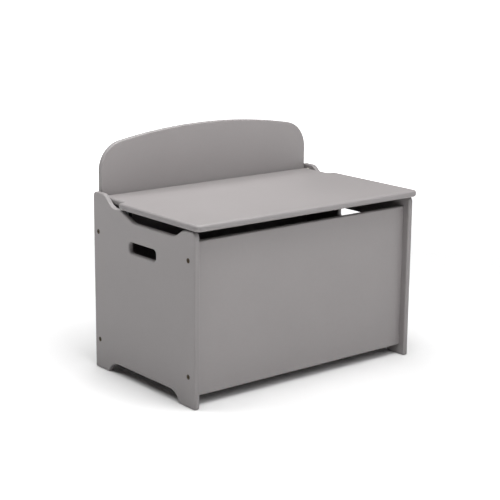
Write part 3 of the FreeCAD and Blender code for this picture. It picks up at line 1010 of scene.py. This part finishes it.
class TOYBOX_OT_rivets(bpy.types.Operator):
    """Make the rivets and washers that the lid stays turn on"""

    bl_idname = "toybox.rivets"
    bl_label = "Rivets and washers"

    def execute(self, context):
        sizes = context.scene.toy_box_fasteners
        nylon = finished("natural_nylon_moulded", moulded_nylon)
        rivet = rivet_tree("peened_rivet")
        washer = washer_tree("friction_washer")
        for kind, near, far in (
            ("plate", False, True),
            ("elbow", True, True),
            ("bracket", True, False),
        ):
            for side, inward in INWARD.items():
                body = {"plate": "box", "elbow": f"lower_link_{side}", "bracket": "lid"}[kind]
                node = f"stay_{kind}_rivet_{side}"
                extent, places = self.seat(node, inward)
                values = {
                    "Head Radius": extent.z / 2,
                    "Head Height": sizes.rivet_head,
                    "Shank Radius": sizes.rivet_shank,
                    "Length": extent.x,
                    "Dimple Radius": sizes.rivet_dimple,
                    "Near Head": near,
                    "Far Head": far,
                    "Sides": sizes.sides,
                    "Material": zinc(),
                }
                piece = grown(f"{kind}_rivet_{side}", rivet, places, values)
                stand_in(piece, body, "zinc_steel", node)
                node = f"stay_{kind}_washer_{side}"
                extent, places = self.seat(node, inward)
                values = {
                    "Outer Radius": extent.z / 2,
                    "Bore Radius": sizes.rivet_shank + sizes.washer_play,
                    "Thickness": extent.x,
                    "Sides": sizes.sides,
                    "Material": nylon,
                }
                piece = grown(f"{kind}_washer_{side}", washer, places, values)
                stand_in(piece, body, "nylon", node)
        return {"FINISHED"}

    @staticmethod
    def seat(node, inward):
        """The extent of a CAD node's box, and the place at its outer end that faces into the toy box."""
        low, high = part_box(node)
        middle = (low + high) / 2
        start = low.x if inward > 0 else high.x
        return high - low, [((start, middle.y, middle.z), (inward, 0, 0))]


class TOYBOX_OT_stays(bpy.types.Operator):
    """Make the stamped links, plates and brackets of the lid stays"""

    bl_idname = "toybox.stays"
    bl_label = "Lid stays"

    def execute(self, context):
        width = context.scene.toy_box_fasteners.stamped_edge
        for side in SIDES:
            for part, body in (
                ("plate", "box"),
                ("lower_link", f"lower_link_{side}"),
                ("upper_link", f"upper_link_{side}"),
                ("bracket", "lid"),
            ):
                node = f"stay_{part}_{side}"
                piece = eased_copy(f"stamped_{part}_{side}", node, width, powder_coat())
                stand_in(piece, body, "black_steel", node)
        return {"FINISHED"}


class TOYBOX_OT_pivots(bpy.types.Operator):
    """Finish the lid's pivots and rest pads, and the fastenings inside the boards"""

    bl_idname = "toybox.pivots"
    bl_label = "Pivots, pads and dowels"

    def execute(self, context):
        dress("barrel_nuts", zinc())
        dress("locating_dowels", finished("beech_turned", turned_beech))
        for side in SIDES:
            dress(f"lid_pivot_pin_{side}", zinc())
            dress(f"lid_pivot_bush_{side}", finished("natural_nylon_moulded", moulded_nylon))
            dress(f"lid_bumper_{side}", finished("black_rubber_moulded", moulded_rubber))
        return {"FINISHED"}


class TOYBOX_OT_stage(bpy.types.Operator):
    """Set the floor, the lights and the camera"""

    bl_idname = "toybox.stage"
    bl_label = "Stage"

    def execute(self, context):
        stage = context.scene.toy_box_stage
        reach = 60
        mesh = bpy.data.meshes.new("studio_floor")
        corners = [(-reach, -reach, 0), (reach, -reach, 0), (reach, reach, 0), (-reach, reach, 0)]
        mesh.from_pydata(corners, [], [(0, 1, 2, 3)])
        floor = bpy.data.objects.new("studio_floor", mesh)
        context.scene.collection.objects.link(floor)
        material, tree, shader = new_material("matt_studio_floor")
        spot = add(tree, "ShaderNodeTexCoord").outputs["Object"]
        grain = add(
            tree, "ShaderNodeTexNoise", {"Vector": spot, "Scale": spaced(25), "Detail": 4.0}
        )
        shade = add(tree, "ShaderNodeValToRGB", {"Fac": grain.outputs["Fac"]})
        shade.color_ramp.elements[0].color = rgba(stage.floor, 0.985)
        shade.color_ramp.elements[1].color = rgba(stage.floor)
        tree.links.new(shade.outputs["Color"], shader.inputs["Base Color"])
        shader.inputs["Roughness"].default_value = 0.9
        shader.inputs["Specular IOR Level"].default_value = 0.1
        # The softboxes light the floor near the object; the far floor glows to stay as pale.
        away = add(tree, "ShaderNodeVectorMath", {0: spot}, operation="LENGTH")
        glow = add(
            tree,
            "ShaderNodeMapRange",
            {
                "Value": away.outputs["Value"],
                "From Min": stage.wash_start,
                "From Max": stage.wash_end,
                "To Min": 0.0,
                "To Max": stage.wash,
            },
            interpolation_type="SMOOTHSTEP",
        )
        shader.inputs["Emission Color"].default_value = (1, 1, 1, 1)
        tree.links.new(glow.outputs[0], shader.inputs["Emission Strength"])
        mesh.materials.append(material)

        world = bpy.data.worlds.new("even_room_light")
        world.use_nodes = True
        tree = world.node_tree
        tree.nodes.clear()
        sky = add(tree, "ShaderNodeBackground", {"Color": (1, 1, 1, 1), "Strength": stage.sky})
        add(tree, "ShaderNodeOutputWorld", {"Surface": sky.outputs[0]})
        context.scene.world = world

        aim = Vector((0, 0, 0.25))
        for name, spot, width, power in (
            ("overhead_softbox", Vector((0, 0, 2.6)), 2.4, stage.overhead),
            ("near_softbox", Vector((0, -0.4, 1.6)), 0.9, stage.near),
            ("front_softbox", Vector((0, -1.8, 2.2)), 2.0, stage.front),
            ("right_softbox", Vector((2.4, -2.6, 1.4)), 2.0, stage.right),
            ("rear_softbox", Vector((0, 0.7, 1.9)), 0.8, stage.rear),
            ("left_softbox", Vector((-1.2, 0.8, 1.9)), 0.8, stage.left),
        ):
            lamp = bpy.data.lights.new(name, "AREA")
            lamp.shape = "SQUARE"
            lamp.size = width
            lamp.energy = power
            holder = bpy.data.objects.new(name, lamp)
            holder.location = spot
            holder.rotation_euler = (aim - spot).to_track_quat("-Z", "Y").to_euler()
            holder.visible_camera = False
            context.scene.collection.objects.link(holder)

        yaw, pitch, roll = stage.camera_yaw, stage.camera_pitch, stage.camera_roll
        level = Vector((-math.sin(yaw), math.cos(yaw), 0))
        ahead = level * math.cos(pitch) + Vector((0, 0, math.sin(pitch)))
        across = Vector((math.cos(yaw), math.sin(yaw), 0))
        upward = across.cross(ahead)
        right = across * math.cos(roll) + upward * math.sin(roll)
        top = upward * math.cos(roll) - across * math.sin(roll)
        lens = bpy.data.cameras.new("studio_camera")
        lens.lens = stage.camera_lens
        lens.sensor_width = 36.0
        lens.clip_end = 200.0
        camera = bpy.data.objects.new("studio_camera", lens)
        turn = Matrix((right, top, -ahead)).transposed()
        camera.matrix_world = Matrix.Translation(Vector(stage.camera_place)) @ turn.to_4x4()
        context.scene.collection.objects.link(camera)
        context.scene.camera = camera
        context.scene.view_settings.view_transform = "Standard"
        return {"FINISHED"}


STEPS = (
    TOYBOX_OT_boards,
    TOYBOX_OT_bolts,
    TOYBOX_OT_screws,
    TOYBOX_OT_rivets,
    TOYBOX_OT_stays,
    TOYBOX_OT_pivots,
    TOYBOX_OT_stage,
)
SETTINGS = (
    ("toy_box_finish", ToyBoxFinish),
    ("toy_box_fasteners", ToyBoxFasteners),
    ("toy_box_stage", ToyBoxStage),
)


class TOYBOX_PT_sidebar(bpy.types.Panel):
    """The toy box's settings and the steps that finish it"""

    bl_label = "Toy Box"
    bl_idname = "TOYBOX_PT_sidebar"
    bl_space_type = "VIEW_3D"
    bl_region_type = "UI"
    bl_category = "Toy Box"

    def draw(self, context):
        for name, group in SETTINGS:
            box = self.layout.box()
            for setting in group.__annotations__:
                box.prop(getattr(context.scene, name), setting)
        for step in STEPS:
            self.layout.operator(step.bl_idname)


def register():
    for name, group in SETTINGS:
        bpy.utils.register_class(group)
        setattr(bpy.types.Scene, name, PointerProperty(type=group))
    for step in STEPS:
        bpy.utils.register_class(step)
    bpy.utils.register_class(TOYBOX_PT_sidebar)


def unregister():
    bpy.utils.unregister_class(TOYBOX_PT_sidebar)
    for step in reversed(STEPS):
        bpy.utils.unregister_class(step)
    for name, group in reversed(SETTINGS):
        delattr(bpy.types.Scene, name)
        bpy.utils.unregister_class(group)


def main():
    register()
    for step in STEPS:
        group, name = step.bl_idname.split(".")
        getattr(getattr(bpy.ops, group), name)()


if __name__ == "__main__":
    main()
